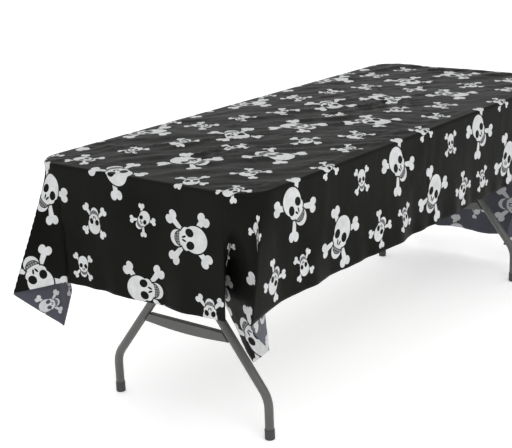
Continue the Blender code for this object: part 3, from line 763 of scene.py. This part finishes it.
def grid_normals(places, shape):
    """Unit normals at the vertices of a grid."""
    grid = places.reshape(*shape, 3)
    along = np.gradient(grid, axis=0)
    across = np.gradient(grid, axis=1)
    normals = np.cross(along, across)
    normals /= np.linalg.norm(normals, axis=2, keepdims=True) + 1e-12
    return normals.reshape(-1, 3)


def closed_sheet(outer, inner, shape):
    """Vertices and faces of a thin closed sheet: outer faces, inner faces, then the rim's.

    An inner face starts at the same vertex as its outer face, so both split along the same diagonal.
    """
    rows, columns = shape
    number = np.arange(rows * columns).reshape(shape)
    quad = np.stack(
        [number[:-1, :-1], number[1:, :-1], number[1:, 1:], number[:-1, 1:]], -1
    ).reshape(-1, 4)
    count = rows * columns
    rim = np.concatenate(
        [number[:, 0], number[-1, 1:], number[-2::-1, -1], number[0, -2:0:-1]]
    )
    following = np.roll(rim, -1)
    border = np.stack([rim, rim + count, following + count, following], 1)
    faces = np.concatenate([quad, quad[:, [0, 3, 2, 1]] + count, border])
    return np.concatenate([outer, inner]), faces, len(quad)


def add_print(mesh, s, t, faces):
    """Gives each face corner its place in the nearest motif's own coordinates."""
    flat = np.stack([s, t], 1)
    flat = np.concatenate([flat, flat])
    chosen = motif_layer(flat[faces].mean(axis=1))
    corners = motif_uv(flat[faces].reshape(-1, 2), chosen.repeat(4, axis=0))
    layer = mesh.uv_layers.new(name="motif")
    layer.data.foreach_set("uv", corners.astype(np.float32).ravel())


def add_cloth():
    """The draped sheet: the print on its outer face, its duller back on the inner face and the rim."""
    s_lines = cloth_lines(S_NEAR, S_FAR, HALF_LENGTH, NEAR_CELL, FAR_CELL)
    t_lines = cloth_lines(-T_EDGE, T_EDGE, HALF_WIDTH, SIDE_CELL, SIDE_CELL)
    shape = (len(s_lines), len(t_lines))
    s, t = (a.ravel() for a in np.meshgrid(s_lines, t_lines, indexing="ij"))
    middle, depth = drape(s, t)
    middle += grid_normals(middle, shape) * crease_height(s, t, depth)[:, None]
    normals = grid_normals(middle, shape)
    outer, inner = middle + normals * FILM / 2, middle - normals * FILM / 2
    places, faces, count = closed_sheet(outer, inner, shape)

    mesh = bpy.data.meshes.new("cloth_sheet")
    mesh.from_pydata(places.tolist(), [], faces.tolist())
    add_print(mesh, s, t, faces)
    index = np.zeros(len(faces), int)
    index[count:] = 1
    mesh.materials.append(film_material("film_face", GROUND, BONE, TEETH, 0.34, 0.025))
    mesh.materials.append(film_material("film_back", BACK_GROUND, BACK_BONE, BACK_TEETH, 0.5, 0.3))
    mesh.polygons.foreach_set("material_index", index)
    mesh.polygons.foreach_set("use_smooth", np.ones(len(faces), bool))
    mesh.update()
    cloth = bpy.data.objects.new("cloth_sheet", mesh)
    bpy.context.scene.collection.objects.link(cloth)
    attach(cloth, "cloth")
    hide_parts("tablecloth")


# ---------------------------------------------------------------- finishes


def powder_coat(name):
    """The legs' grey powder coat."""
    material, tree, shader = new_material(name, 0.45)
    where = place_signal(tree)
    soft = noise(tree, where, 12.0, 3.0)
    colour = ramp(tree, soft, 0.3, 0.7, *COAT)
    tree.links.new(colour, shader.inputs["Base Color"])
    grain = noise(tree, where, 900.0, 2.0)
    spread(tree, shader, grain, 0.34, 0.48)
    add_bump(tree, shader, grain, 0.0004, 0.3)
    shader.inputs["Coat Weight"].default_value = 0.15
    shader.inputs["Coat Roughness"].default_value = 0.25
    return material


def zinc_plate(name):
    """Zinc plate, cloudy and a little duller in places."""
    material, tree, shader = new_material(name, 0.38, 1.0)
    where = place_signal(tree)
    cloud = noise(tree, where, 35.0, 4.0)
    colour = ramp(tree, cloud, 0.3, 0.7, *ZINC)
    tree.links.new(colour, shader.inputs["Base Color"])
    spread(tree, shader, cloud, 0.28, 0.46)
    return material


def pebbled_board(name):
    """The board's off-white plastic with a fine pebble."""
    material, tree, shader = new_material(name, 0.55)
    where = place_signal(tree)
    cloud = noise(tree, where, 6.0, 2.0)
    colour = ramp(tree, cloud, 0.3, 0.7, *BOARD)
    tree.links.new(colour, shader.inputs["Base Color"])
    pebble = noise(tree, where, 320.0, 2.0)
    spread(tree, shader, pebble, 0.5, 0.62)
    add_bump(tree, shader, pebble, 0.001, 0.5)
    return material


def foot_plastic(name):
    """The feet's black plastic."""
    material, tree, shader = new_material(name, 0.6)
    grain = noise(tree, place_signal(tree), 400.0, 2.0)
    colour = ramp(tree, grain, 0.3, 0.7, *FOOT)
    tree.links.new(colour, shader.inputs["Base Color"])
    spread(tree, shader, grain, 0.55, 0.7)
    return material


def finish_frame():
    """Gives every CAD node the finish of its material slot."""
    finishes = {
        "painted_steel": powder_coat("painted_steel"),
        "zinc_steel": zinc_plate("zinc_steel"),
        "board": pebbled_board("board"),
        "foot_plastic": foot_plastic("foot_plastic"),
    }
    for part in frame["record"]["subparts"]:
        finish = finishes.get(part["material_slot"])
        node = frame["nodes"][part["node"]]
        if finish is None:
            continue
        if not node.material_slots:
            node.data.materials.append(finish)
        for slot in node.material_slots:
            slot.material = finish


add_camera()
add_studio()
finish_frame()
add_cloth()
